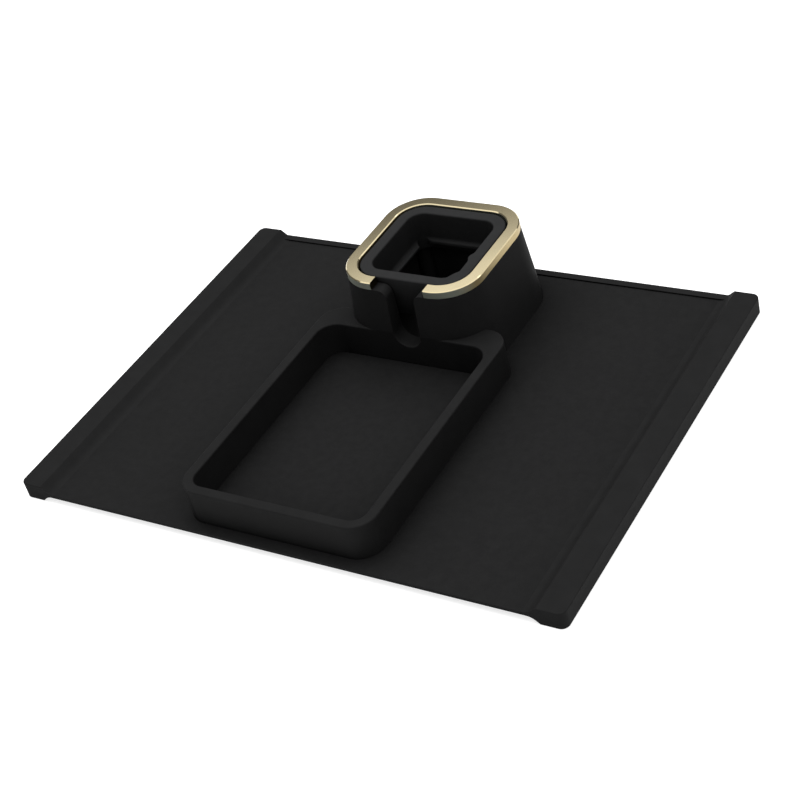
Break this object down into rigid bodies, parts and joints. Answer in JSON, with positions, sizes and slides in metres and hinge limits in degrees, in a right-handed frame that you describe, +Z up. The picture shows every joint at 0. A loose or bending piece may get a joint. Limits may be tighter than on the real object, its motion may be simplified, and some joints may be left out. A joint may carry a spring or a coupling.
{
  "type": "watch movement holder",
  "caption": "Bench stand with side runners, a walled parts tray and a raised square cup holder with a gold C-shaped ring and a front slot.",
  "frame": {"origin": "centre of the footprint, on the bench", "axes": "+Z up, +Y from the parts tray towards the tower, +X to the right of a person at the tray"},
  "size_m": [0.32, 0.24, 0.0551],
  "materials": {
    "base_plastic": "fine matt moulded",
    "mat_rubber": "fine matt",
    "foot_rubber": "matt",
    "tray_plastic": "fine matt moulded",
    "pad_rubber": "fine matt",
    "tower_plastic": "fine matt moulded",
    "ring_gold": "satin champagne gold, anodised",
    "cup_rubber": "soft matt",
    "screw_steel": "plain",
    "insert_brass": "plain"
  },
  "bodies": {
    "stand": {"base_plate": "base_plastic", "bench_mat": "mat_rubber", "runner_pad_left": "foot_rubber", "runner_pad_right": "foot_rubber", "support_feet": "foot_rubber", "parts_tray": "tray_plastic", "tray_screws": "screw_steel", "tray_inserts": "insert_brass", "holder_tower": "tower_plastic", "tower_screws": "screw_steel", "tower_inserts": "insert_brass", "bezel_ring": "ring_gold", "bezel_pins": "screw_steel"},
    "cup": {"cup_insert": "cup_rubber"},
    "pad": {"tray_pad": "pad_rubber"}
  },
  "joints": [
    {"name": "cup_lift", "type": "slide", "parent": "stand", "child": "cup", "axis": [0, 0, 1], "range_m": [0, 0.03]},
    {"name": "pad_lift", "type": "slide", "parent": "stand", "child": "pad", "axis": [0, 0, 1], "range_m": [0, 0.03]}
  ]
}
